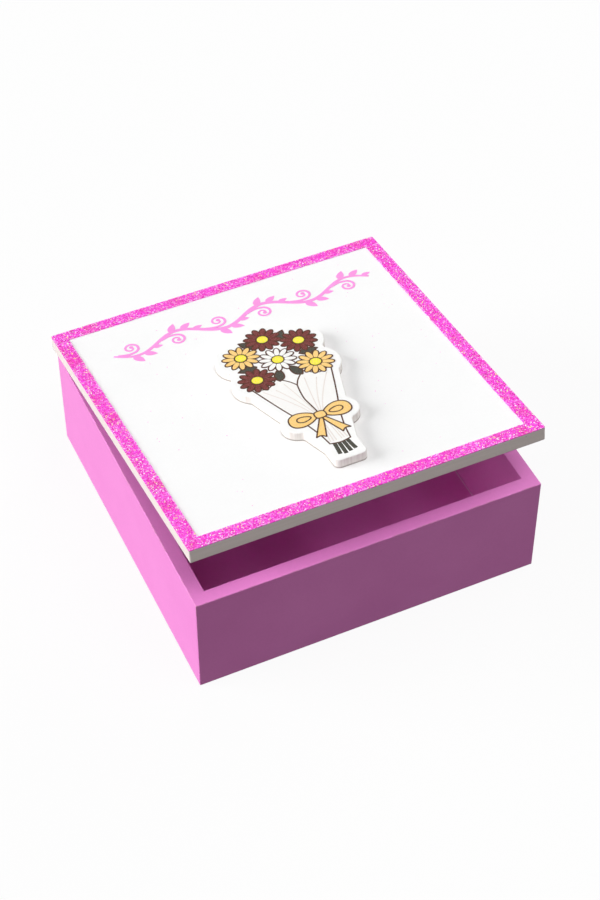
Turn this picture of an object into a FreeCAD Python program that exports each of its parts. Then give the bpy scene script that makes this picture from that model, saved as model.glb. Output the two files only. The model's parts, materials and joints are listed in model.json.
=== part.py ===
import FreeCAD, Part
import os
from FreeCAD import Vector

# Square wooden keepsake box with a white lid, hinged along the back and standing ajar.
# Lengths are in millimetres and angles in degrees.
# The origin is the centre of the underside. X runs to the right, Y to the back and Z up.

# Box walls
box_width = 150.0
box_depth = 150.0
box_height = 50.0
wall_thickness = 6.0
outer_edge_round = 0.4
rim_edge_round = 0.3
corner_lap = 3.0  # tongue of the front and back walls that covers the end of a side wall

# Bottom panel, let into a rebate along the lower inner edge of the walls
bottom_thickness = 3.0
bottom_rebate = 3.0
bottom_play = 0.1

# Lid board
lid_thickness = 6.0
lid_side_overhang = 0.5
lid_back_overhang = 4.5
lid_edge_round = 0.6
lid_seat_gap = 0.3  # between the rim and the closed lid
lid_ajar_angle = 8.9

# Glitter tape round the top of the lid
tape_width = 6.0
tape_thickness = 0.3

# Hinges
hinge_inset = 30.0  # from the side of the box to the middle of a hinge
hinge_length = 20.0
knuckle_count = 3
knuckle_radius = 1.5
knuckle_end_gap = 0.3
knuckle_play = 0.2
knuckle_wall_gap = 0.2  # between the barrel and the back face of the box
pin_radius = 0.7
pin_play = 0.06
leaf_width = 5.0
leaf_thickness = 0.8
leaf_corner_round = 0.8
mortise_play = 0.15
barrel_notch_play = 0.4

# Hinge screws
screw_spacing = 12.0
screw_length = 4.6
screw_shank_radius = 0.7
screw_head_radius = 1.4
screw_slot_width = 0.4
screw_slot_depth = 0.35
screw_play = 0.05

# Cut-out plaque: a posy of daisies in a paper wrap, tied with a bow
plaque_thickness = 4.0
plaque_margin = 2.5  # bare board left round the posy
plaque_hollow_round = 2.0  # radius of the cutter in the inner corners
plaque_edge_chamfer = 0.3
plaque_front_gap = 10.5  # between the front tape and the foot of the plaque
daisy_radius = 8.2
posy_spread_width = 26.0  # between the middles of the outermost daisies
posy_spread_height = 24.5  # between the middles of the lowest and highest daisies
posy_rise = 4.5  # from the top of the wrap to the middles of the lowest daisies
daisy_place_shares = ((-0.5, 0.0), (0.5, 0.0), (0.0, 0.36), (-0.5, 0.69), (0.5, 0.69), (0.0, 1.0))
wrap_length = 47.0
wrap_top_width = 36.0
wrap_foot_width = 9.0
bow_height = 19.0  # above the foot of the wrap
bow_loop_radius = 4.6
bow_loop_spacing = 19.0
stem_length = 8.0

# One overrun lets every cut pass cleanly through its face, and one tolerance matches edges.
cut_overrun = 5.0
match_tolerance = 0.001

# Places that follow from the sizes above
inner_width = box_width - 2 * wall_thickness
inner_depth = box_depth - 2 * wall_thickness
side_wall_length = box_depth - 2 * corner_lap
back_face_y = box_depth / 2
lid_width = box_width + 2 * lid_side_overhang
lid_front_y = -box_depth / 2
lid_back_y = back_face_y + lid_back_overhang
lid_base_z = box_height + lid_seat_gap
lid_top_z = lid_base_z + lid_thickness
pivot_y = back_face_y + knuckle_wall_gap + knuckle_radius
pivot_z = box_height + lid_seat_gap / 2
leaf_front_y = back_face_y - leaf_width
screw_y = back_face_y - leaf_width / 2
knuckle_pitch = hinge_length / knuckle_count
hinge_places = {"left": hinge_inset - box_width / 2, "right": box_width / 2 - hinge_inset}
screw_places = (-screw_spacing / 2, screw_spacing / 2)
stem_foot_y = lid_front_y + tape_width + plaque_front_gap + plaque_margin
wrap_foot_y = stem_foot_y + stem_length
wrap_top_y = wrap_foot_y + wrap_length
bow_y = wrap_foot_y + bow_height
posy_base_y = wrap_top_y + posy_rise
up = Vector(0, 0, 1)
down = Vector(0, 0, -1)


def save(node, shape):
    shape.exportStep("parts/" + node + ".step")


def centred_block(width, depth, height, base_z):
    """A block centred on the Z axis, standing at the height base_z."""
    return Part.makeBox(width, depth, height, Vector(-width / 2, -depth / 2, base_z))


def ajar(shape):
    """Swing a piece of the closed lid about the hinge pins, front edge up."""
    return shape.rotated(Vector(0, pivot_y, pivot_z), Vector(-1, 0, 0), lid_ajar_angle)


# Walls and bottom

def is_inner_rim_edge(edge):
    box = edge.BoundBox
    at_rim = box.ZMin > box_height - match_tolerance
    inside_width = max(abs(box.XMin), abs(box.XMax)) < inner_width / 2 + match_tolerance
    inside_depth = max(abs(box.YMin), abs(box.YMax)) < inner_depth / 2 + match_tolerance
    return at_rim and inside_width and inside_depth


def make_wall_ring():
    """All four walls as the one smooth ring that gluing and sanding leave."""
    block = centred_block(box_width, box_depth, box_height, 0)
    block = block.makeFillet(outer_edge_round, block.Edges)
    hollow = centred_block(inner_width, inner_depth, box_height + 2 * cut_overrun, -cut_overrun)
    rebate_width = inner_width + 2 * bottom_rebate
    rebate_depth = inner_depth + 2 * bottom_rebate
    rebate = centred_block(rebate_width, rebate_depth, bottom_thickness + cut_overrun, -cut_overrun)
    ring = block.cut(hollow).cut(rebate)
    rim_edges = [edge for edge in ring.Edges if is_inner_rim_edge(edge)]
    return ring.makeFillet(rim_edge_round, rim_edges)


def make_walls():
    """Part the ring at its corner laps: the side walls run between the front and back tongues."""
    ring = make_wall_ring()
    left_corner = Vector(-box_width / 2, -side_wall_length / 2, 0)
    right_corner = Vector(box_width / 2 - wall_thickness, -side_wall_length / 2, 0)
    left_zone = Part.makeBox(wall_thickness, side_wall_length, box_height, left_corner)
    right_zone = Part.makeBox(wall_thickness, side_wall_length, box_height, right_corner)
    long_walls = ring.cut(left_zone).cut(right_zone).Solids
    front, back = sorted(long_walls, key=lambda wall: wall.CenterOfMass.y)
    return {
        "front_wall": front,
        "back_wall": back,
        "left_wall": ring.common(left_zone).Solids[0],
        "right_wall": ring.common(right_zone).Solids[0],
    }


def make_bottom_panel():
    width = inner_width + 2 * (bottom_rebate - bottom_play)
    depth = inner_depth + 2 * (bottom_rebate - bottom_play)
    return centred_block(width, depth, bottom_thickness, 0)


# Lid

def make_lid_board():
    """The lid board, its upright and lower edges eased and its top left crisp under the tape."""
    corner = Vector(-lid_width / 2, lid_front_y, lid_base_z)
    board = Part.makeBox(lid_width, lid_back_y - lid_front_y, lid_thickness, corner)
    eased = [edge for edge in board.Edges if edge.BoundBox.ZMin < lid_top_z - match_tolerance]
    return board.makeFillet(lid_edge_round, eased)


def rectangle_corners(inset):
    """Corners of the lid's top, moved inwards, from the front left one round to the back left one."""
    left = -lid_width / 2 + inset
    front = lid_front_y + inset
    back = lid_back_y - inset
    return [
        Vector(left, front, lid_top_z),
        Vector(-left, front, lid_top_z),
        Vector(-left, back, lid_top_z),
        Vector(left, back, lid_top_z),
    ]


def make_tape_strips():
    """Four strips of tape, mitred where they meet, cut flush with the rounded lid corners."""
    outer = rectangle_corners(0)
    inner = rectangle_corners(tape_width)
    sheet = Part.Face(Part.makePolygon(outer + outer[:1])).extrude(up * tape_thickness)
    uprights = [edge for edge in sheet.Edges if edge.BoundBox.ZLength > match_tolerance]
    sheet = sheet.makeFillet(lid_edge_round, uprights)
    strips = {}
    for side in ("front", "right", "back", "left"):
        mitred = [outer[0], outer[1], inner[1], inner[0], outer[0]]
        strip = Part.Face(Part.makePolygon(mitred)).extrude(up * tape_thickness)
        strips["glitter_strip_" + side] = strip.common(sheet)
        outer = outer[1:] + outer[:1]
        inner = inner[1:] + inner[:1]
    return strips


# Plaque

def make_wrap_block():
    """The paper wrap and the stems below it, grown by the margin."""
    top = wrap_top_width / 2
    foot = wrap_foot_width / 2
    points = [
        Vector(-top, wrap_top_y, lid_top_z),
        Vector(-foot, wrap_foot_y, lid_top_z),
        Vector(-foot, stem_foot_y, lid_top_z),
        Vector(foot, stem_foot_y, lid_top_z),
        Vector(foot, wrap_foot_y, lid_top_z),
        Vector(top, wrap_top_y, lid_top_z),
    ]
    outline = Part.Face(Part.makePolygon(points + points[:1]))
    return outline.makeOffset2D(plaque_margin).extrude(up * plaque_thickness)


def make_plaque():
    """A scalloped board cut round the posy, with cutter-round inner corners and eased top edges."""
    discs = []
    for across_share, up_share in daisy_place_shares:
        x = across_share * posy_spread_width
        y = posy_base_y + up_share * posy_spread_height
        discs.append((x, y, daisy_radius))
    for side in (-1, 1):
        discs.append((side * bow_loop_spacing / 2, bow_y, bow_loop_radius))
    blocks = [
        Part.makeCylinder(radius + plaque_margin, plaque_thickness, Vector(x, y, lid_top_z))
        for x, y, radius in discs
    ]
    joined = make_wrap_block().multiFuse(blocks).removeSplitter()
    underside = min(joined.Faces, key=lambda face: face.CenterOfMass.z)
    outline = Part.Face(underside.OuterWire)
    outline = outline.makeOffset2D(plaque_hollow_round).makeOffset2D(-plaque_hollow_round)
    board = outline.extrude(up * plaque_thickness)
    top_z = lid_top_z + plaque_thickness
    top_edges = [edge for edge in board.Edges if edge.BoundBox.ZMin > top_z - match_tolerance]
    return board.makeChamfer(plaque_edge_chamfer, top_edges)


# Hinges, made round X = 0 and then moved to their places

def along_pivot(start_x, length, radius):
    """A cylinder on the hinge axis."""
    return Part.makeCylinder(radius, length, Vector(start_x, pivot_y, pivot_z), Vector(1, 0, 0))


def make_screw(x, head_z, inwards):
    """A countersunk screw with a slotted head as deep as the leaf is thick."""
    place = Vector(x, screw_y, head_z)
    head = Part.makeCone(screw_head_radius, screw_shank_radius, leaf_thickness, place, inwards)
    shank = Part.makeCylinder(screw_shank_radius, screw_length, place, inwards)
    slot = Part.makeBox(screw_slot_width, 2 * screw_head_radius, 2 * screw_slot_depth)
    slot.translate(place - Vector(screw_slot_width / 2, screw_head_radius, screw_slot_depth))
    return shank.fuse(head).removeSplitter().cut(slot)


def make_screws(head_z, inwards):
    return Part.makeCompound([make_screw(x, head_z, inwards) for x in screw_places])


def make_pilot_holes(head_z, inwards):
    """The holes that take the screws' shanks."""
    radius = screw_shank_radius + screw_play
    length = screw_length + screw_play
    return [Part.makeCylinder(radius, length, Vector(x, screw_y, head_z), inwards) for x in screw_places]


def make_countersinks(head_z, inwards):
    """The cones that take the screws' heads."""
    wide = screw_head_radius + screw_play
    narrow = screw_shank_radius + screw_play
    places = [Vector(x, screw_y, head_z) for x in screw_places]
    return [Part.makeCone(wide, narrow, leaf_thickness, place, inwards) for place in places]


def make_leaf(plate_z, first_knuckle, head_z, inwards):
    """A brass leaf: a plate with every other knuckle of the barrel, bored for the pin."""
    plate_corner = Vector(-hinge_length / 2, leaf_front_y, plate_z)
    leaf = Part.makeBox(hinge_length, pivot_y - leaf_front_y, leaf_thickness, plate_corner)
    corners = [
        edge
        for edge in leaf.Edges
        if edge.BoundBox.YMax < leaf_front_y + match_tolerance and edge.BoundBox.ZLength > match_tolerance
    ]
    leaf = leaf.makeFillet(leaf_corner_round, corners)
    for knuckle in range(knuckle_count):
        start_x = knuckle * knuckle_pitch - hinge_length / 2
        is_own = knuckle % 2 == first_knuckle
        if is_own:
            length = knuckle_pitch - knuckle_end_gap
            leaf = leaf.fuse(along_pivot(start_x + knuckle_end_gap / 2, length, knuckle_radius))
        else:
            length = knuckle_pitch + knuckle_end_gap
            room = along_pivot(start_x - knuckle_end_gap / 2, length, knuckle_radius + knuckle_play)
            leaf = leaf.cut(room)
    bore = along_pivot(-hinge_length / 2 - cut_overrun, hinge_length + 2 * cut_overrun, pin_radius + pin_play)
    holes = make_pilot_holes(head_z, inwards) + make_countersinks(head_z, inwards)
    return leaf.cut([bore] + holes).removeSplitter()


def make_pin():
    return along_pivot(-hinge_length / 2, hinge_length, pin_radius)


def make_mortise(floor_z, mouth_z):
    """The pocket that takes a leaf's plate, open at the face it is cut from and at the back."""
    width = hinge_length + 2 * mortise_play
    front_y = leaf_front_y - mortise_play
    low_z = min(floor_z, mouth_z)
    corner = Vector(-width / 2, front_y, low_z)
    return Part.makeBox(width, lid_back_y + cut_overrun - front_y, abs(mouth_z - floor_z), corner)


def make_barrel_notch():
    """The notch in the lid's back edge that clears the barrel."""
    width = hinge_length + 2 * mortise_play
    room = knuckle_radius + barrel_notch_play
    low_z = lid_base_z - cut_overrun
    corner = Vector(-width / 2, pivot_y - room, low_z)
    return Part.makeBox(width, lid_back_y + cut_overrun - corner.y, pivot_z + room - low_z, corner)


def at_hinge(shape, x):
    return shape.translated(Vector(x, 0, 0))


def make_assembly():
    nodes = make_walls()
    nodes["bottom_panel"] = make_bottom_panel()
    rim_pocket = [make_mortise(box_height - leaf_thickness, box_height + cut_overrun)]
    rim_pocket += make_pilot_holes(box_height, down)
    lid_pocket = [make_mortise(lid_base_z + leaf_thickness, lid_base_z - cut_overrun), make_barrel_notch()]
    lid_pocket += make_pilot_holes(lid_base_z, up)
    lid_pieces = make_tape_strips()
    lid_pieces["plaque"] = make_plaque()
    lid_panel = make_lid_board()
    for side, x in hinge_places.items():
        hinge = side + "_hinge_"
        nodes["back_wall"] = nodes["back_wall"].cut([at_hinge(cutter, x) for cutter in rim_pocket])
        lid_panel = lid_panel.cut([at_hinge(cutter, x) for cutter in lid_pocket])
        box_leaf = make_leaf(box_height - leaf_thickness, 0, box_height, down)
        lid_leaf = make_leaf(lid_base_z, 1, lid_base_z, up)
        nodes[hinge + "box_leaf"] = at_hinge(box_leaf, x)
        nodes[hinge + "pin"] = at_hinge(make_pin(), x)
        nodes[hinge + "box_screws"] = at_hinge(make_screws(box_height, down), x)
        lid_pieces[hinge + "lid_leaf"] = at_hinge(lid_leaf, x)
        lid_pieces[hinge + "lid_screws"] = at_hinge(make_screws(lid_base_z, up), x)
    lid_pieces["lid_panel"] = lid_panel
    for node, piece in lid_pieces.items():
        nodes[node] = ajar(piece)
    return nodes


os.makedirs("parts", exist_ok=True)
for node, shape in make_assembly().items():
    save(node, shape)
    print(node, "solids", len(shape.Solids), "valid", shape.isValid(), "volume", round(shape.Volume, 2))
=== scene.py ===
import json
import math
import random

import bmesh
import bpy
from mathutils import Matrix, Vector


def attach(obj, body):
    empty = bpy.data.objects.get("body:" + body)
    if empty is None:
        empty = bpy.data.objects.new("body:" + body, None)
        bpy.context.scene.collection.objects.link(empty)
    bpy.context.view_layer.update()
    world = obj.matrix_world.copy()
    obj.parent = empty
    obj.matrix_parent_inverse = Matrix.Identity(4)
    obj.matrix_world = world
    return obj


# Looks of a painted keepsake box whose white lid stands ajar.
# The lid carries a border of glitter tape, a pink vine and a cut-out plaque with a printed posy.
# Pieces of the lid are drawn in millimetres on the closed lid, with X to the right and Y to the back,
# and are then swung open with the lid.

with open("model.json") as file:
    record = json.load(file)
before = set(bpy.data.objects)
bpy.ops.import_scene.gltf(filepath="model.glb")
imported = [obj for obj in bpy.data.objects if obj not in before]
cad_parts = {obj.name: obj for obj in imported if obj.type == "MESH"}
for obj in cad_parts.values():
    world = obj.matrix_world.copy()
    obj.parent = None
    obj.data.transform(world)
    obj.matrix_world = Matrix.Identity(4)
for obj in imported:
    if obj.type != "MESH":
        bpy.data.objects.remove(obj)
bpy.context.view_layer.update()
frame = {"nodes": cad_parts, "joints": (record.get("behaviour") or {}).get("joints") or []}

MM = 0.001
hinge = frame["joints"][0]
hinge_line = Vector(hinge["pos_m"])
ajar_angle = -math.radians(hinge["range_deg"][0])
SWING = Matrix.Rotation(ajar_angle, 4, Vector(hinge["axis"]))
AJAR = Matrix.Translation(hinge_line) @ SWING @ Matrix.Translation(-hinge_line)
TO_ROOM = {"box": Matrix.Scale(MM, 4), "lid": AJAR @ Matrix.Scale(MM, 4)}

# Sizes of the box, in millimetres
HALF_BOX = 75.0
HALF_INSIDE = 69.0
BOX_HEIGHT = 50.0
BOTTOM_TOP = 3.0

# Places on the closed lid, in millimetres
HALF_LID = 75.5
LID_FRONT = -75.0
LID_BACK = 79.5
LID_FOOT = 50.3
LID_TOP = 56.3
TAPE_WIDTH = 6.0
TAPE_TOP = 56.6
PLAQUE_TOP = 60.3


# Meshes

MERGE = 0.0005  # points nearer than this, in millimetres, are one point
CURVE_STEPS = 8
ROUND_SIDES = 20
SWEEP = 10  # height of a stroke's swept band, in widths, so that its rounded edge presses out flat


def finish_piece(name, bm, material, body="lid"):
    """Close and turn out a mesh drawn in millimetres, put it in its place and let it ride on a body."""
    bmesh.ops.remove_doubles(bm, verts=bm.verts, dist=MERGE)
    bmesh.ops.recalc_face_normals(bm, faces=bm.faces)
    bmesh.ops.transform(bm, matrix=TO_ROOM[body], verts=bm.verts)
    mesh = bpy.data.meshes.new(name)
    bm.to_mesh(mesh)
    bm.free()
    mesh.materials.append(material)
    piece = bpy.data.objects.new(name, mesh)
    bpy.context.scene.collection.objects.link(piece)
    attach(piece, body)


def new_curve(**settings):
    """An empty curve with its settings."""
    curve = bpy.data.curves.new("line", "CURVE")
    for name, value in settings.items():
        setattr(curve, name, value)
    return curve


def add_curve(bm, curve, kind, points, place, closed, radii=None):
    """Add the mesh of one smooth or straight-sided line through the points to bm."""
    spline = curve.splines.new(kind)
    spline.points.add(len(points) - 1)
    for i, (x, y) in enumerate(points):
        spline.points[i].co = (x, y, 0, 1)
        spline.points[i].radius = radii[i] if radii else 1
    spline.use_cyclic_u = closed
    if kind == "NURBS":
        spline.order_u = 3
        spline.use_endpoint_u = not closed
    holder = bpy.data.objects.new("line", curve)
    mesh = bpy.data.meshes.new_from_object(holder)
    mesh.transform(place)
    bm.from_mesh(mesh)
    bpy.data.objects.remove(holder)
    bpy.data.curves.remove(curve)
    bpy.data.meshes.remove(mesh)


def add_stroke(bm, points, width, base, top, closed=False, radii=None):
    """A drawn line: a band along a smooth curve, swept upright and pressed flat on what carries it."""
    curve = new_curve(dimensions="3D", twist_mode="Z_UP", bevel_depth=width / 2, bevel_resolution=1,
                      extrude=SWEEP * width, resolution_u=CURVE_STEPS, use_fill_caps=True)
    flat = Matrix.Diagonal((1, 1, (top - base) / (2 * SWEEP + 1) / width, 1))
    place = Matrix.Translation((0, 0, (base + top) / 2)) @ flat
    add_curve(bm, curve, "NURBS", points, place, closed, radii)


def add_patch(bm, points, base, top):
    """A flat patch inside a closed outline, from just under the surface to its own height."""
    curve = new_curve(dimensions="2D", fill_mode="BOTH", extrude=(top - base) / 2, resolution_u=CURVE_STEPS)
    add_curve(bm, curve, "NURBS", points, Matrix.Translation((0, 0, (base + top) / 2)), True)


def add_disc(bm, x, y, length, width, turn, base, top, sides=ROUND_SIDES):
    """A flat round or oval patch, turned by an angle."""
    place = Matrix.Translation((x, y, (base + top) / 2)) @ Matrix.Rotation(turn, 4, "Z")
    place = place @ Matrix.Diagonal((length, width, top - base, 1))
    bmesh.ops.create_cone(bm, cap_ends=True, segments=sides, radius1=1, radius2=1, depth=1, matrix=place)


def turned(points, x, y, angle, size=1.0, flip=1):
    """Points turned by an angle and moved to x, y. A flip of -1 mirrors them first."""
    c = math.cos(angle) * size
    s = math.sin(angle) * size
    return [(x + px * c - py * flip * s, y + px * s + py * flip * c) for px, py in points]


# Materials

MIX_A, MIX_B, MIX_RESULT = 6, 7, 2  # places of a colour mix's sockets
MIX_LOW, MIX_HIGH = 2, 3  # places of a number mix's sockets
STREAK = 0.03  # share of its scale that a noise keeps along its streaks
WEAR = 0.6  # width of the thin paint along an edge, in millimetres
EDGE_TOP = (0.1, 0.5)  # depths under the lid's face over which its edge begins, in millimetres
EDGE_FOOT = (0.05, 0.3)  # heights over the lid's underside at which its edge ends
FACE_DEPTH = (0.25, 0.05)  # depths under the plaque's face over which its side ends
PAINTED_SHADOW_HEIGHT = (0.8, 0.2)  # heights over the lid at which the painted contact shadow under the plaque begins

# Sizes of the patterns, in millimetres
CLOUD = 22.0  # clouds from one pass of the spray to the next
MOTTLE = 1.1
PEEL = 1.8  # waves of the orange peel
DUST_APART = 26.0
NIB = 0.012  # radius of a dust nib, as a share of the distance between two
WORN_RUN = 7.0
EDGE_STREAK = 0.8
CUT_LINE = 0.7
BOARD_TOOTH = 0.5  # finer in life, drawn as coarse as it needs to show
INK_TOOTH = 0.45  # finer in life too
GLITTER_CELL = 0.5  # about twice life size, so that the flakes show
THICK_PATCH = 9.0
SCUFF = 0.3
BRASS_LINE = 0.4  # finer in life too
BRASS_PATCH = 3.0


def linear(hex_colour):
    """An sRGB hex colour as the linear colour that a shader works in."""
    parts = [int(hex_colour[i:i + 2], 16) / 255 for i in (1, 3, 5)]
    return [p / 12.92 if p <= 0.04045 else ((p + 0.055) / 1.055) ** 2.4 for p in parts] + [1.0]


def add_node(material, kind, inputs=(), **settings):
    """Add a node with its settings, and set or link each input."""
    node = material.node_tree.nodes.new(kind)
    for name, value in settings.items():
        setattr(node, name, value)
    for socket, value in dict(inputs).items():
        if isinstance(value, bpy.types.NodeSocket):
            material.node_tree.links.new(value, node.inputs[socket])
        else:
            node.inputs[socket].default_value = value
    return node


def new_material(name):
    """A material with an empty tree."""
    material = bpy.data.materials.new(name)
    material.use_nodes = True
    material.node_tree.nodes.clear()
    return material


def per_mm(size):
    """The scale of a pattern whose features are this many millimetres across."""
    return 1 / (size * MM)


def lid_coordinates(material):
    """Object coordinates swung back to where they are on the closed lid."""
    where = add_node(material, "ShaderNodeTexCoord").outputs["Object"]
    shut = AJAR.inverted()
    turn = {"Vector": where, "Rotation": shut.to_euler(), "Location": shut.translation}
    return add_node(material, "ShaderNodeMapping", turn).outputs["Vector"]


def add_edge_coat(material, colour, edge, streak):
    """On the lid's edges the paint has sunk into the cut board: warmer, with faint streaks along them."""
    where = lid_coordinates(material)
    height = add_node(material, "ShaderNodeSeparateXYZ", {"Vector": where}).outputs["Z"]
    below = add_node(material, "ShaderNodeMapRange",
                     {"Value": height, "From Min": (LID_TOP - EDGE_TOP[0]) * MM,
                      "From Max": (LID_TOP - EDGE_TOP[1]) * MM})
    above = add_node(material, "ShaderNodeMapRange",
                     {"Value": height, "From Min": (LID_FOOT + EDGE_FOOT[0]) * MM,
                      "From Max": (LID_FOOT + EDGE_FOOT[1]) * MM})
    on_edge = add_node(material, "ShaderNodeMath",
                       {0: below.outputs[0], 1: above.outputs[0]}, operation="MULTIPLY")
    along = add_node(material, "ShaderNodeMapping", {"Vector": where, "Scale": (STREAK, STREAK, 1)})
    lines = add_node(material, "ShaderNodeTexNoise",
                     {"Vector": along.outputs["Vector"], "Scale": per_mm(EDGE_STREAK), "Detail": 2.0})
    share = add_node(material, "ShaderNodeMapRange",
                     {"Value": lines.outputs["Fac"], "From Min": 0.4, "From Max": 0.65})
    lined = add_node(material, "ShaderNodeMix",
                     {0: share.outputs[0], MIX_A: linear(edge), MIX_B: linear(streak)}, data_type="RGBA")
    coated = add_node(material, "ShaderNodeMix",
                      {0: on_edge.outputs[0], MIX_A: colour, MIX_B: lined.outputs[MIX_RESULT]},
                      data_type="RGBA")
    return coated.outputs[MIX_RESULT]


def add_worn_edges(material, colour, board):
    """Along the box's outer edges the paint is thin, and in broken runs the board tints it faintly."""
    where = add_node(material, "ShaderNodeTexCoord").outputs["Object"]
    middle = Vector((0, 0, BOX_HEIGHT / 2)) * MM
    start = Vector((HALF_BOX - WEAR, HALF_BOX - WEAR, BOX_HEIGHT / 2 - WEAR)) * MM
    steps = (
        ("SUBTRACT", {1: middle}),
        ("ABSOLUTE", {}),
        ("SUBTRACT", {1: start}),
        ("MULTIPLY", {1: [per_mm(WEAR)] * 3}),
        ("MAXIMUM", {1: [0, 0, 0]}),
        ("MINIMUM", {1: [1, 1, 1]}),
    )
    near = where
    for operation, value in steps:
        moved = add_node(material, "ShaderNodeVectorMath", {0: near, **value}, operation=operation)
        near = moved.outputs[0]
    faces = add_node(material, "ShaderNodeVectorMath", {0: near, 1: (1, 1, 1)}, operation="DOT_PRODUCT")
    at_edge = add_node(material, "ShaderNodeMapRange",
                       {"Value": faces.outputs["Value"], "From Min": 1.2, "From Max": 1.9})
    runs = add_node(material, "ShaderNodeTexNoise",
                    {"Vector": where, "Scale": per_mm(WORN_RUN), "Detail": 4.0})
    thin = add_node(material, "ShaderNodeMapRange",
                    {"Value": runs.outputs["Fac"], "From Min": 0.46, "From Max": 0.62, "To Max": 0.55})
    share = add_node(material, "ShaderNodeMath",
                     {0: at_edge.outputs[0], 1: thin.outputs[0]}, operation="MULTIPLY")
    worn = add_node(material, "ShaderNodeMix",
                    {0: share.outputs[0], MIX_A: colour, MIX_B: linear(board)}, data_type="RGBA")
    return worn.outputs[MIX_RESULT]


def make_satin_paint(name, main, shade, nib, peel, specular, edge=None, board=None):
    """Satin paint sprayed on sanded fibreboard: an even colour that clouds a little from pass to pass,
    a faint orange peel in the gloss, and a dust nib here and there."""
    material = new_material(name)
    where = add_node(material, "ShaderNodeTexCoord").outputs["Object"]
    cloud = add_node(material, "ShaderNodeTexNoise",
                     {"Vector": where, "Scale": per_mm(CLOUD), "Detail": 3.0})
    fine = add_node(material, "ShaderNodeTexNoise",
                    {"Vector": where, "Scale": per_mm(MOTTLE), "Detail": 2.0})
    both = add_node(material, "ShaderNodeMath",
                    {0: cloud.outputs["Fac"], 1: fine.outputs["Fac"]}, operation="ADD")
    share = add_node(material, "ShaderNodeMapRange",
                     {"Value": both.outputs[0], "From Min": 0.75, "From Max": 1.25})
    colour = add_node(material, "ShaderNodeMix",
                      {0: share.outputs[0], MIX_A: linear(main), MIX_B: linear(shade)}, data_type="RGBA")
    coat = colour.outputs[MIX_RESULT]
    if edge:
        coat = add_edge_coat(material, coat, *edge)
    if board:
        coat = add_worn_edges(material, coat, board)
    dust = add_node(material, "ShaderNodeTexVoronoi", {"Vector": where, "Scale": per_mm(DUST_APART)})
    dot = add_node(material, "ShaderNodeMath",
                   {0: dust.outputs["Distance"], 1: NIB}, operation="LESS_THAN")
    with_nibs = add_node(material, "ShaderNodeMix",
                         {0: dot.outputs[0], MIX_A: coat, MIX_B: linear(nib)}, data_type="RGBA")
    gloss = add_node(material, "ShaderNodeMapRange",
                     {"Value": cloud.outputs["Fac"], "To Min": 0.55, "To Max": 0.7})
    orange_peel = add_node(material, "ShaderNodeTexNoise",
                           {"Vector": where, "Scale": per_mm(PEEL), "Detail": 1.0})
    bump = add_node(material, "ShaderNodeBump",
                    {"Height": orange_peel.outputs["Fac"], "Strength": peel, "Distance": 0.05 * MM})
    shader = add_node(material, "ShaderNodeBsdfPrincipled",
                      {"Base Color": with_nibs.outputs[MIX_RESULT], "Roughness": gloss.outputs[0],
                       "Normal": bump.outputs[0], "IOR": 1.5, "Specular IOR Level": specular})
    add_node(material, "ShaderNodeOutputMaterial", {"Surface": shader.outputs[0]})
    return material


def make_cut_board(name, face, side, cut_line, foot):
    """White foamed board cut to shape: a clean white face, warmer sides with fine upright cutting lines,
    and a grey band of painted contact shadow along the foot, where it meets the lid."""
    material = new_material(name)
    where = lid_coordinates(material)
    height = add_node(material, "ShaderNodeSeparateXYZ", {"Vector": where}).outputs["Z"]
    upright = add_node(material, "ShaderNodeMapping", {"Vector": where, "Scale": (1, 1, STREAK)})
    lines = add_node(material, "ShaderNodeTexNoise",
                     {"Vector": upright.outputs["Vector"], "Scale": per_mm(CUT_LINE), "Detail": 2.0})
    share = add_node(material, "ShaderNodeMapRange",
                     {"Value": lines.outputs["Fac"], "From Min": 0.4, "From Max": 0.65})
    lined = add_node(material, "ShaderNodeMix",
                     {0: share.outputs[0], MIX_A: linear(side), MIX_B: linear(cut_line)}, data_type="RGBA")
    on_face = add_node(material, "ShaderNodeMapRange",
                       {"Value": height, "From Min": (PLAQUE_TOP - FACE_DEPTH[0]) * MM,
                        "From Max": (PLAQUE_TOP - FACE_DEPTH[1]) * MM})
    faced = add_node(material, "ShaderNodeMix",
                     {0: on_face.outputs[0], MIX_A: lined.outputs[MIX_RESULT], MIX_B: linear(face)},
                     data_type="RGBA")
    # a grey band at the foot is painted contact shadow, where the board meets the lid
    in_painted_shadow = add_node(material, "ShaderNodeMapRange",
                       {"Value": height, "From Min": (LID_TOP + PAINTED_SHADOW_HEIGHT[0]) * MM,
                        "From Max": (LID_TOP + PAINTED_SHADOW_HEIGHT[1]) * MM})
    with_painted_shadow = add_node(material, "ShaderNodeMix",
                      {0: in_painted_shadow.outputs[0], MIX_A: faced.outputs[MIX_RESULT], MIX_B: linear(foot)},
                      data_type="RGBA")
    tooth = add_node(material, "ShaderNodeTexNoise",
                     {"Vector": where, "Scale": per_mm(BOARD_TOOTH), "Detail": 2.0})
    relief = add_node(material, "ShaderNodeMix",
                      {0: on_face.outputs[0], MIX_LOW: lines.outputs["Fac"],
                       MIX_HIGH: tooth.outputs["Fac"]})
    bump = add_node(material, "ShaderNodeBump",
                    {"Height": relief.outputs[0], "Strength": 0.18, "Distance": 0.08 * MM})
    shader = add_node(material, "ShaderNodeBsdfPrincipled",
                      {"Base Color": with_painted_shadow.outputs[MIX_RESULT], "Roughness": 0.6,
                       "Normal": bump.outputs[0], "IOR": 1.5, "Specular IOR Level": 0.3})
    add_node(material, "ShaderNodeOutputMaterial", {"Surface": shader.outputs[0]})
    return material


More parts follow.
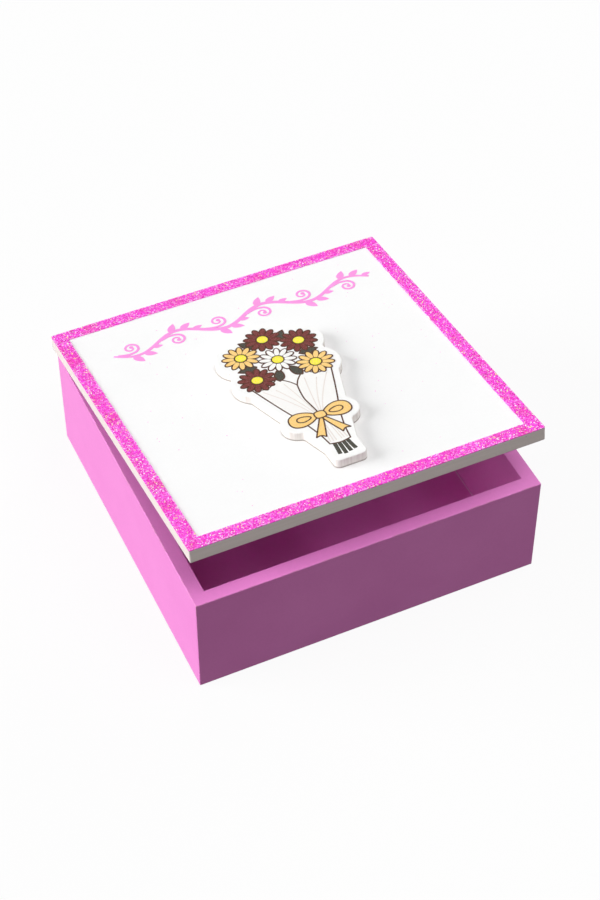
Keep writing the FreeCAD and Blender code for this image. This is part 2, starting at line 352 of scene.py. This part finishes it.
def make_ink(name, main, pale):
    """Flat printed ink or cut vinyl: a matt, even coat that the tooth of the board breaks up
    into a fine fleck."""
    material = new_material(name)
    where = add_node(material, "ShaderNodeTexCoord").outputs["Object"]
    tooth = add_node(material, "ShaderNodeTexNoise",
                     {"Vector": where, "Scale": per_mm(INK_TOOTH), "Detail": 2.0})
    share = add_node(material, "ShaderNodeMapRange",
                     {"Value": tooth.outputs["Fac"], "From Min": 0.4, "From Max": 0.75})
    colour = add_node(material, "ShaderNodeMix",
                      {0: share.outputs[0], MIX_A: linear(main), MIX_B: linear(pale)}, data_type="RGBA")
    bump = add_node(material, "ShaderNodeBump",
                    {"Height": tooth.outputs["Fac"], "Strength": 0.15, "Distance": 0.04 * MM})
    shader = add_node(material, "ShaderNodeBsdfPrincipled",
                      {"Base Color": colour.outputs[MIX_RESULT], "Roughness": 0.75,
                       "Normal": bump.outputs[0], "IOR": 1.5, "Specular IOR Level": 0.12})
    add_node(material, "ShaderNodeOutputMaterial", {"Surface": shader.outputs[0]})
    return material


GLITTER_TONES = (
    # tone from which the colour holds, colour
    (0.00, "#fd45dc"),
    (0.40, "#ff5fe4"),
    (0.60, "#fe84ec"),
    (0.74, "#e83cbc"),
    (0.84, "#ffb6f3"),
    # the two palest tones are painted glints: flakes coloured near white and pale gold as if they caught
    # the light
    (0.94, "#fff2fb"),
    (0.97, "#ffe6a6"),
)
THICK_TINT = "#f7ccd6"


def add_glitter_ramp(material, tone, where):
    """Pick a flake's colour by its tone, deeper in patches where the flakes lie thick."""
    ramp = add_node(material, "ShaderNodeValToRGB", {"Fac": tone})
    ramp.color_ramp.interpolation = "CONSTANT"
    for place, colour in GLITTER_TONES[2:]:
        ramp.color_ramp.elements.new(place)
    for element, (place, colour) in zip(ramp.color_ramp.elements, GLITTER_TONES):
        element.position = place
        element.color = linear(colour)
    patch = add_node(material, "ShaderNodeTexNoise",
                     {"Vector": where, "Scale": per_mm(THICK_PATCH), "Detail": 1.0})
    thick = add_node(material, "ShaderNodeMapRange",
                     {"Value": patch.outputs["Fac"], "From Min": 0.5, "From Max": 0.8})
    deep = add_node(material, "ShaderNodeMix",
                    {0: thick.outputs[0], MIX_A: ramp.outputs["Color"], MIX_B: linear(THICK_TINT)},
                    data_type="RGBA", blend_type="MULTIPLY")
    return deep.outputs[MIX_RESULT]


def make_glitter_film():
    """Glitter bedded in clear film: cells of flake in several pinks, with painted glints of near white and
    pale gold, each leaning its own way.
    The flakes are drawn at 0.5 mm, about twice life size, so that they show."""
    material = new_material("glitter_film")
    where = add_node(material, "ShaderNodeTexCoord").outputs["Object"]
    cells = add_node(material, "ShaderNodeTexVoronoi", {"Vector": where, "Scale": per_mm(GLITTER_CELL)})
    tone = add_node(material, "ShaderNodeSeparateColor", {0: cells.outputs["Color"]})
    bump = add_node(material, "ShaderNodeBump",
                    {"Height": tone.outputs[1], "Strength": 0.6, "Distance": 0.15 * MM})
    shader = add_node(material, "ShaderNodeBsdfPrincipled",
                      {"Base Color": add_glitter_ramp(material, tone.outputs[0], where), "Metallic": 0.1,
                       "Roughness": 0.4, "Normal": bump.outputs[0], "Specular IOR Level": 0.2,
                       "Coat Weight": 0.1, "Coat Roughness": 0.2})
    add_node(material, "ShaderNodeOutputMaterial", {"Surface": shader.outputs[0]})
    return material


def make_glitter_flake():
    """Loose flakes on the tape: tinted film, part mirror, scuffed to a soft shine."""
    material = new_material("glitter_flake")
    tone = add_node(material, "ShaderNodeAttribute", attribute_name="flake_tone").outputs["Fac"]
    where = add_node(material, "ShaderNodeTexCoord").outputs["Object"]
    scuff = add_node(material, "ShaderNodeTexNoise", {"Vector": where, "Scale": per_mm(SCUFF)})
    gloss = add_node(material, "ShaderNodeMapRange",
                     {"Value": scuff.outputs["Fac"], "To Min": 0.2, "To Max": 0.45})
    shader = add_node(material, "ShaderNodeBsdfPrincipled",
                      {"Base Color": add_glitter_ramp(material, tone, where), "Metallic": 0.2,
                       "Roughness": gloss.outputs[0], "Specular IOR Level": 0.15})
    add_node(material, "ShaderNodeOutputMaterial", {"Surface": shader.outputs[0]})
    return material


def make_brass(name, bright, dull, grain):
    """Rolled or turned brass: a warm mirror with fine lines along the grain and duller patches."""
    material = new_material(name)
    where = add_node(material, "ShaderNodeTexCoord").outputs["Object"]
    along = add_node(material, "ShaderNodeMapping", {"Vector": where, "Scale": grain}).outputs["Vector"]
    lines = add_node(material, "ShaderNodeTexNoise",
                     {"Vector": along, "Scale": per_mm(BRASS_LINE), "Detail": 3.0})
    patch = add_node(material, "ShaderNodeTexNoise",
                     {"Vector": where, "Scale": per_mm(BRASS_PATCH), "Detail": 4.0})
    colour = add_node(material, "ShaderNodeMix",
                      {0: patch.outputs["Fac"], MIX_A: linear(bright), MIX_B: linear(dull)},
                      data_type="RGBA")
    gloss = add_node(material, "ShaderNodeMapRange",
                     {"Value": lines.outputs["Fac"], "To Min": 0.2, "To Max": 0.45})
    bump = add_node(material, "ShaderNodeBump",
                    {"Height": lines.outputs["Fac"], "Strength": 0.15, "Distance": 0.03 * MM})
    shader = add_node(material, "ShaderNodeBsdfPrincipled",
                      {"Base Color": colour.outputs[MIX_RESULT], "Metallic": 1.0,
                       "Roughness": gloss.outputs[0], "Normal": bump.outputs[0]})
    add_node(material, "ShaderNodeOutputMaterial", {"Surface": shader.outputs[0]})
    return material


pink_paint = make_satin_paint("pink_satin_paint", "#fb8ee1", "#f78bdd", "#8a4a7a",
                              peel=0.12, specular=0.75, board="#a07060")
white_paint = make_satin_paint("white_satin_paint", "#fdfdfd", "#fbfbfb", "#e6dcdc",
                               peel=0.08, specular=0.35, edge=("#fcf1ee", "#f8ede9"))
painted_filler = make_satin_paint("painted_filler", "#ffcdf4", "#fcbeec", "#e6a6d6",
                                  peel=0.12, specular=0.5)
# the last colour is the painted contact shadow along the plaque's foot
plaque_board = make_cut_board("foamed_board", "#fdfdfc", "#f8f3ef", "#ebe4df", "#a1978f")
glitter_film = make_glitter_film()
glitter_flake = make_glitter_flake()
hinge_brass = make_brass("rolled_brass", "#d9b468", "#b98f48", grain=(0.05, 1, 1))
screw_brass = make_brass("turned_brass", "#ecd291", "#d0ac62", grain=(1, 1, 0.05))
pink_vinyl = make_ink("light_pink_vinyl", "#ff9de6", "#ffa6e9")


# Frame nodes

FINISHES = {
    "pink_paint": pink_paint,
    "white_paint": white_paint,
    "plaque_board": plaque_board,
    "glitter_tape": glitter_film,
    "hinge_brass": hinge_brass,
    "screw_brass": screw_brass,
}


def slot_of(node):
    """The record's finish for a frame node."""
    if node.endswith("_wall") or node == "bottom_panel":
        return "pink_paint"
    if node == "lid_panel":
        return "white_paint"
    if node == "plaque":
        return "plaque_board"
    if node.startswith("glitter_strip"):
        return "glitter_tape"
    return "screw_brass" if node.endswith("_screws") else "hinge_brass"


for name, node in frame["nodes"].items():
    node.data.materials.clear()
    node.data.materials.append(FINISHES[slot_of(name)])


# Filler inside the box

BEAD = 0.45  # radius of the bead, in millimetres
CORNERS = ((-1, -1), (1, -1), (1, 1), (-1, 1))


def make_corner_filler():
    """A bead of pale filler in the corner between the bottom and the walls, thinly painted over."""
    curve = new_curve(dimensions="3D", twist_mode="Z_UP", bevel_depth=BEAD, bevel_resolution=0)
    points = [(x * HALF_INSIDE, y * HALF_INSIDE) for x, y in CORNERS]
    bm = bmesh.new()
    add_curve(bm, curve, "POLY", points, Matrix.Translation((0, 0, BOTTOM_TOP)), True)
    finish_piece("corner_filler", bm, painted_filler, body="box")


make_corner_filler()


# Printed posy on the plaque, in millimetres from the plaque's middle line
# Each coat of ink lies a step higher than the one under it.

INK_FOOT = PLAQUE_TOP - 0.05
INK_STEP = 0.015
STEM_COAT, WRAP_COAT, FOLD_COAT, LEAF_COAT, OVERLAP_COAT = 1, 2, 3, 4, 4
TAIL_COAT, LOOP_COAT, HOLLOW_COAT, KNOT_COAT = 5, 7, 9, 10
EYE_LINE_COAT, EYE_COAT, SEED_COAT = 12, 13, 14
LINE = 0.6

PETALS = 12
PETAL_MIDDLE = 5.0
PETAL_LENGTH = 3.15
PETAL_WIDTH = 1.66
EYE_RADIUS = 2.9
EYE_SIDES = 28
SEEDS = 6
SEED_RING = 1.4
SEED_RADIUS = 0.3
SEED_SIDES = 10
DAISIES = (
    # middle x, middle y, colour of the petals, turn, first coat
    (0.0, 28.0, "maroon", 0.10, 6),
    (-13.0, 20.4, "peach", 0.24, 8),
    (13.0, 20.4, "maroon", 0.02, 8),
    (-13.0, 3.5, "maroon", 0.17, 8),
    (13.0, 3.5, "peach", 0.08, 8),
    (0.0, 12.3, "white", 0.20, 10),
)

LEAF = [(0, 0), (0, 0), (2.2, 2.4), (6.0, 2.0), (9.0, 0), (9.0, 0), (6.0, -2.0), (2.2, -2.4)]
POSY_LEAF_SIZE = 0.92
POSY_LEAVES = (
    # foot x, foot y, angle
    (-5.0, -1.5, 1.25), (5.0, -1.5, 1.9), (-9.5, 12.0, math.pi), (9.5, 12.0, 0.0),
    (-4.6, 24.0, 2.28), (4.6, 24.0, 0.86),
)

STEM_WIDTH = 1.7
STEM_LINE = ((0.8, -46.5), (0.85, -50.0))  # share of a stem's place across, height
STEM_SPREAD = 1.05
STEMS = (
    # place across, height of the foot
    (-3.3, -55.0), (-1.1, -55.7), (1.1, -55.2), (3.3, -54.6),
)

WRAP_SIDE = [(-17.6, -1.0), (-17.6, -1.0), (-12.0, -19.0), (-8.0, -30.0), (-5.4, -40.0),
             (-4.4, -47.6), (-4.4, -47.6)]
WRAP_FOOT = [(0.0, -48.6)]
WRAP_COLLAR = [(11.5, -4.6), (6.0, 0.6), (6.0, 0.6), (2.0, -3.2), (0.0, -7.0), (0.0, -7.0),
               (-2.0, -3.2), (-6.0, 0.6), (-6.0, 0.6), (-11.5, -4.6)]
WRAP_OVERLAP = [(0.0, -7.0), (-1.6, -15.0), (-0.6, -22.0), (0.0, -28.0)]
FOLD_WIDTH = 0.45
FOLD_TOPS = ((-14.0, -5.0), (-9.0, -6.0), (-4.5, -4.0), (4.5, -4.0), (9.0, -6.0), (14.0, -5.0))
FOLD_TO_KNOT = ((0.42, -17.0), (0.16, -27.0))  # share of the fold's place at its top, height
FOLD_TO_FOOT = ((0.16, -31.0), (0.2, -39.0), (0.26, -46.5))

BOW_Y = -29.0
BOW_TAIL = [(0.4, -0.5), (0.4, -0.5), (3.0, -5.0), (7.4, -12.6), (7.4, -12.6), (5.2, -12.0),
            (3.6, -13.8), (3.6, -13.8), (1.2, -7.0), (-0.6, -1.0)]
BOW_LOOP = [(0.6, 0.0), (0.6, 0.0), (4.0, 3.6), (9.0, 5.2), (13.2, 3.0), (13.4, -2.6), (9.0, -4.6),
            (4.0, -3.0)]
BOW_HOLLOW = [(3.4, 0.2), (6.2, 1.8), (9.4, 1.9), (10.2, -0.2), (8.2, -1.7), (5.4, -1.2)]
BOW_KNOT = [(-2.0, 2.2), (2.0, 2.2), (2.5, 0.0), (2.0, -2.2), (-2.0, -2.2), (-2.5, 0.0)]

inks = {
    "line": (bmesh.new(), make_ink("brown_line_ink", "#54392f", "#6b4f44")),
    "maroon": (bmesh.new(), make_ink("maroon_ink", "#723835", "#915d59")),
    "peach": (bmesh.new(), make_ink("peach_ink", "#fdd07c", "#ffe0a4")),
    "yellow": (bmesh.new(), make_ink("yellow_ink", "#fdf23a", "#fff67a")),
    "white": (bmesh.new(), make_ink("white_ink", "#fdfcfa", "#faf7f4")),
    "charcoal": (bmesh.new(), make_ink("charcoal_ink", "#4b4a43", "#605f57")),
    "fold": (bmesh.new(), make_ink("pale_fold_ink", "#ece3dd", "#f4eeea")),
}


def print_disc(ink, coat, x, y, length, width, turn=0.0, sides=ROUND_SIDES):
    """A printed round or oval."""
    add_disc(inks[ink][0], x, y, length, width, turn, INK_FOOT, PLAQUE_TOP + coat * INK_STEP, sides)


def print_line(ink, coat, points, width=LINE, closed=False):
    """A printed line of even width."""
    add_stroke(inks[ink][0], points, width, INK_FOOT, PLAQUE_TOP + coat * INK_STEP, closed)


def print_outlined(ink, coat, points):
    """A patch of one colour with the brown line printed round it."""
    add_patch(inks[ink][0], points, INK_FOOT, PLAQUE_TOP + coat * INK_STEP)
    print_line("line", coat + 1, points, closed=True)


def print_daisy(x, y, ink, turn, coat):
    """Petals with a drawn outline round a yellow eye with seed dots."""
    for petal in range(PETALS):
        angle = turn + petal * 2 * math.pi / PETALS
        px = x + PETAL_MIDDLE * math.cos(angle)
        py = y + PETAL_MIDDLE * math.sin(angle)
        print_disc("line", coat, px, py, PETAL_LENGTH, PETAL_WIDTH, angle)
        print_disc(ink, coat + 1, px, py, PETAL_LENGTH - LINE, PETAL_WIDTH - LINE, angle)
    print_disc("line", EYE_LINE_COAT, x, y, EYE_RADIUS, EYE_RADIUS, sides=EYE_SIDES)
    print_disc("yellow", EYE_COAT, x, y, EYE_RADIUS - LINE, EYE_RADIUS - LINE, sides=EYE_SIDES)
    for seed in range(SEEDS):
        angle = seed * 2 * math.pi / SEEDS
        px = x + SEED_RING * math.cos(angle)
        py = y + SEED_RING * math.sin(angle)
        print_disc("peach", SEED_COAT, px, py, SEED_RADIUS, SEED_RADIUS, sides=SEED_SIDES)


def print_stems():
    """Cut stems that fan out a little under the wrap."""
    for x, foot in STEMS:
        points = [(x * share, y) for share, y in STEM_LINE + ((STEM_SPREAD, foot),)]
        print_line("charcoal", STEM_COAT, points, STEM_WIDTH)


def print_wrap():
    """A white paper wrap, drawn in line, with pale folds that run to the ribbon."""
    other_side = [(-x, y) for x, y in reversed(WRAP_SIDE)]
    print_outlined("white", WRAP_COAT, WRAP_SIDE + WRAP_FOOT + other_side + WRAP_COLLAR)
    for top_x, top_y in FOLD_TOPS:
        above = [(top_x, top_y)] + [(top_x * share, y) for share, y in FOLD_TO_KNOT]
        below = [(top_x * share, y) for share, y in FOLD_TO_FOOT]
        print_line("fold", FOLD_COAT, above, FOLD_WIDTH)
        print_line("fold", FOLD_COAT, below, FOLD_WIDTH)
    print_line("line", OVERLAP_COAT, WRAP_OVERLAP)


def print_bow():
    """A ribbon bow over the wrap: two tails, two loops and a knot."""
    for flip in (-1, 1):
        print_outlined("peach", TAIL_COAT, [(flip * x, BOW_Y + y) for x, y in BOW_TAIL])
        print_outlined("peach", LOOP_COAT, [(flip * x, BOW_Y + y) for x, y in BOW_LOOP])
        print_line("line", HOLLOW_COAT, [(flip * x, BOW_Y + y) for x, y in BOW_HOLLOW], closed=True)
    print_outlined("peach", KNOT_COAT, [(x, BOW_Y + y) for x, y in BOW_KNOT])


print_stems()
print_wrap()
for x, y, angle in POSY_LEAVES:
    print_outlined("charcoal", LEAF_COAT, turned(LEAF, x, y, angle, POSY_LEAF_SIZE))
for daisy in DAISIES:
    print_daisy(*daisy)
print_bow()
for ink, (bm, material) in inks.items():
    finish_piece("posy_" + ink, bm, material)


# Pink vine along the back of the lid
# The leaves, curls and buds lie a hair higher than the stem, so that no two faces share a plane.

VINE_Y = 53.0
VINE_SPAN = 59.0
VINE_MIDDLE = 2.0
VINE_WAVE = 39.4
VINE_SWAY = 4.2
VINE_BENDS = 6
VINE_POINTS = 49
VINE_WIDTH = 1.9
VINE_TIP = 0.5
VINYL_FOOT = LID_TOP - 0.03
VINYL_TOP = LID_TOP + 0.08
LEAF_TOP = VINYL_TOP + 0.012
CURL_TOP = VINYL_TOP + 0.02
BUD_TOP = VINYL_TOP + 0.03
VINE_LEAVES = (
    # foot along the stem, angle, size
    (-2.6, 1.0, 0.72), (2.2, 0.5, 0.66), (7.0, 0.15, 0.5),
)
CURL = [(-8.1, -3.5), (-4.7, -2.2), (-2.2, -2.3), (0.3, -2.9), (1.7, -4.8), (1.5, -7.1), (0.0, -8.6),
        (-2.0, -8.7), (-3.4, -7.6), (-3.7, -6.0), (-3.0, -4.8), (-1.8, -4.4), (-0.7, -5.0),
        (-0.5, -6.0), (-1.0, -6.6)]
CURL_WIDTH = 1.3
CURL_TAPER = 0.03
BUD_RADIUS = 0.9


def vine_height(x):
    """The height of the stem's middle line over a place across the lid."""
    return VINE_Y + VINE_SWAY * math.sin(2 * math.pi * (x - VINE_MIDDLE) / VINE_WAVE)


def make_vine():
    """A swaying stem cut from vinyl, with leaves outside each bend and a curl inside it."""
    bm = bmesh.new()
    last = VINE_POINTS - 1
    xs = [VINE_MIDDLE + VINE_SPAN * (2 * i / last - 1) for i in range(VINE_POINTS)]
    radii = [VINE_TIP + (1 - VINE_TIP) * math.sin(math.pi * i / last) ** 0.5 for i in range(VINE_POINTS)]
    stem = [(x, vine_height(x)) for x in xs]
    add_stroke(bm, stem, VINE_WIDTH, VINYL_FOOT, VINYL_TOP, radii=radii)
    taper = [1 - CURL_TAPER * i for i in range(len(CURL))]
    for bend in range(VINE_BENDS):
        x = VINE_MIDDLE + VINE_WAVE / 2 * (bend - (VINE_BENDS - 1) / 2)
        y = vine_height(x)
        up = 1 if y > VINE_Y else -1
        for foot, angle, size in VINE_LEAVES:
            leaf = turned(LEAF, x + foot, vine_height(x + foot), up * angle, size)
            add_patch(bm, leaf, VINYL_FOOT, LEAF_TOP)
        curl = turned(CURL, x, y, 0, 1, up)
        add_stroke(bm, curl, CURL_WIDTH, VINYL_FOOT, CURL_TOP, radii=taper)
        add_disc(bm, curl[-1][0], curl[-1][1], BUD_RADIUS, BUD_RADIUS, 0, VINYL_FOOT, BUD_TOP)
    finish_piece("lid_vine", bm, pink_vinyl)


make_vine()


# Glitter flakes, in millimetres

FLAKE_DRAWS = 7  # the same flakes in every run
draw = random.Random(FLAKE_DRAWS)
FLAKE_SIDES = 6
FLAKE_THICKNESS = 0.08  # of a flake 1 mm across
FLAKE_STEP = 0.62
FLAKE_JITTER = 0.25
FLAKE_SIZES = (0.48, 0.8)  # about twice life size, so that they show
FLAKE_LEAN = 0.3
FLAKE_LIFT = 0.02
OUTER_GAP = 0.42  # from the tape's outer edge to the middle of the first row
INNER_GAP = 0.25  # from the middle of the last row to the tape's inner edge
EDGE_JITTER = 0.06
PALE_TONE = 0.9
PALE_AT_EDGE = 0.4  # the flakes lie thinner along both edges of the tape
STRAYS = 60
STRAY_SIZES = (0.2, 0.38)
STRAY_LEAN = 0.05
STRAY_MARGIN = 12
NO_STRAY_X = 26  # the plaque and its surroundings stay clean
NO_STRAY_Y = (-60, 41)


def flake_template():
    """One six-sided flake, 1 mm across and lying flat."""
    bm = bmesh.new()
    bmesh.ops.create_cone(bm, cap_ends=True, segments=FLAKE_SIDES, radius1=0.5, radius2=0.5,
                          depth=FLAKE_THICKNESS)
    mesh = bpy.data.meshes.new("flake")
    bm.to_mesh(mesh)
    bm.free()
    mesh.attributes.new("flake_tone", "FLOAT", "FACE")
    return mesh


def add_flake(bm, flake, x, y, base, size, lean, pale=0.0):
    """A flake at x, y, turned and leaning at random, with a tone of its own.
    pale is the chance that it takes the pale tone."""
    turn = Matrix.Rotation(draw.uniform(0, math.pi), 4, "Z")
    tilt = Matrix.Rotation(draw.gauss(0, lean), 4, "X") @ Matrix.Rotation(draw.gauss(0, lean), 4, "Y")
    place = Matrix.Translation((x, y, base)) @ turn @ tilt @ Matrix.Scale(size, 4)
    tone = PALE_TONE if draw.random() < pale else draw.random()
    flake.attributes["flake_tone"].data.foreach_set("value", [tone] * len(flake.polygons))
    flake.transform(place)
    bm.from_mesh(flake)
    flake.transform(place.inverted())


def make_strip_flakes(side, flake):
    """Flakes over one strip of tape, from its cut outer edge to its ragged inner one."""
    bm = bmesh.new()
    across = side in ("front", "back")
    length = 2 * HALF_LID if across else LID_BACK - LID_FRONT
    rows = int(TAPE_WIDTH / FLAKE_STEP)
    for row in range(rows):
        depth = OUTER_GAP + row * (TAPE_WIDTH - OUTER_GAP - INNER_GAP) / (rows - 1)
        at_edge = row in (0, rows - 1)
        ragged = EDGE_JITTER if at_edge else FLAKE_JITTER
        pale = PALE_AT_EDGE if at_edge else 0.0
        run = length - 2 * depth
        steps = int(run / FLAKE_STEP)
        for step in range(steps + 1):
            along = depth + run * step / steps + draw.uniform(-FLAKE_JITTER, FLAKE_JITTER)
            inwards = depth + draw.uniform(-ragged, ragged)
            if side == "front":
                x, y = along - HALF_LID, LID_FRONT + inwards
            elif side == "back":
                x, y = along - HALF_LID, LID_BACK - inwards
            elif side == "left":
                x, y = inwards - HALF_LID, LID_FRONT + along
            else:
                x, y = HALF_LID - inwards, LID_FRONT + along
            size = draw.uniform(*FLAKE_SIZES)
            add_flake(bm, flake, x, y, TAPE_TOP + FLAKE_LIFT, size, FLAKE_LEAN, pale)
    finish_piece("glitter_flakes_" + side, bm, glitter_flake)


def make_stray_flakes(flake):
    """The odd flake that has come off the tape and sticks to the white paint."""
    bm = bmesh.new()
    count = 0
    while count < STRAYS:
        x = draw.uniform(STRAY_MARGIN - HALF_LID, HALF_LID - STRAY_MARGIN)
        y = draw.uniform(LID_FRONT + STRAY_MARGIN, LID_BACK - STRAY_MARGIN)
        if abs(x) < NO_STRAY_X and NO_STRAY_Y[0] < y < NO_STRAY_Y[1]:
            continue
        add_flake(bm, flake, x, y, LID_TOP + FLAKE_LIFT, draw.uniform(*STRAY_SIZES), STRAY_LEAN)
        count += 1
    finish_piece("stray_flakes", bm, glitter_flake)


flake = flake_template()
for side in ("front", "back", "left", "right"):
    make_strip_flakes(side, flake)
make_stray_flakes(flake)
bpy.data.meshes.remove(flake)


# Floor, light and camera

FLOOR_SIZE = 6.0
FLOOR_GLOW = 0.91  # share of the floor's white that shadows don't touch
WORLD_LEVEL = 0.04
LAMP_SPREAD = 40.0
LAMPS = (
    # name, direction towards the lamp, level
    ("left_window", (-0.89, 0.36, 0.28), 0.99),
    ("right_window", (0.76, 0.40, 0.51), 0.20),
    ("top_right_light", (0.24, -0.20, 0.95), 0.40),
    ("top_left_light", (-0.30, -0.20, 0.93), 0.175),
)
CAMERA_PLACE = (-0.25561, -0.56058, 0.69657)
CAMERA_LOOK = (0.28464, 0.61634, -0.73424)
CAMERA_LENS = 86.86
CAMERA_SENSOR = 36.0


def seen_ray(material):
    """1 where the camera, a reflection or a clear piece looks straight at the backdrop, 0 for its light."""
    path = add_node(material, "ShaderNodeLightPath").outputs
    seen = add_node(material, "ShaderNodeMath",
                    {0: path["Is Camera Ray"], 1: path["Is Glossy Ray"]}, operation="MAXIMUM")
    return add_node(material, "ShaderNodeMath",
                    {0: seen.outputs[0], 1: path["Is Transmission Ray"]}, operation="MAXIMUM").outputs[0]


def make_floor():
    """A plain white table that keeps the box's shadow and throws only a little light back up."""
    material = new_material("pale_floor")
    shadowed = add_node(material, "ShaderNodeBsdfDiffuse", {"Color": linear("#f4f4f4")})
    glow = add_node(material, "ShaderNodeEmission", {"Color": linear("#ffffff"), "Strength": 1.0})
    white = add_node(material, "ShaderNodeMixShader",
                     {0: FLOOR_GLOW, 1: shadowed.outputs[0], 2: glow.outputs[0]})
    bounce = add_node(material, "ShaderNodeBsdfDiffuse", {"Color": linear("#615b57")})
    both = add_node(material, "ShaderNodeMixShader",
                    {0: seen_ray(material), 1: bounce.outputs[0], 2: white.outputs[0]})
    add_node(material, "ShaderNodeOutputMaterial", {"Surface": both.outputs[0]})
    bm = bmesh.new()
    bmesh.ops.create_grid(bm, x_segments=1, y_segments=1, size=FLOOR_SIZE)
    mesh = bpy.data.meshes.new("floor")
    bm.to_mesh(mesh)
    bm.free()
    mesh.materials.append(material)
    floor = bpy.data.objects.new("floor", mesh)
    bpy.context.scene.collection.objects.link(floor)


def make_world():
    """A white room that gives the box only a little light of its own."""
    world = bpy.data.worlds.new("studio")
    bpy.context.scene.world = world
    world.use_nodes = True
    world.node_tree.nodes.clear()
    dim = add_node(world, "ShaderNodeBackground", {"Color": linear("#ffffff"), "Strength": WORLD_LEVEL})
    white = add_node(world, "ShaderNodeBackground", {"Color": linear("#ffffff"), "Strength": 1.0})
    both = add_node(world, "ShaderNodeMixShader",
                    {0: seen_ray(world), 1: dim.outputs[0], 2: white.outputs[0]})
    add_node(world, "ShaderNodeOutputWorld", {"Surface": both.outputs[0]})


def make_lamp(name, towards, level):
    """A wide soft lamp far off in one direction, at a level where 1 shows a colour as it is written."""
    data = bpy.data.lights.new(name, "SUN")
    data.energy = math.pi * level
    data.angle = math.radians(LAMP_SPREAD)
    lamp = bpy.data.objects.new(name, data)
    bpy.context.scene.collection.objects.link(lamp)
    lamp.rotation_mode = "QUATERNION"
    lamp.rotation_quaternion = Vector(towards).to_track_quat("Z", "Y")


def make_camera():
    """A camera at the photograph's viewing angle."""
    data = bpy.data.cameras.new("camera")
    data.sensor_width = CAMERA_SENSOR
    data.lens = CAMERA_LENS
    camera = bpy.data.objects.new("camera", data)
    bpy.context.scene.collection.objects.link(camera)
    camera.location = CAMERA_PLACE
    camera.rotation_mode = "QUATERNION"
    camera.rotation_quaternion = Vector(CAMERA_LOOK).to_track_quat("-Z", "Y")
    bpy.context.scene.camera = camera


make_floor()
make_world()
for lamp in LAMPS:
    make_lamp(*lamp)
make_camera()
bpy.context.scene.view_settings.view_transform = "Standard"
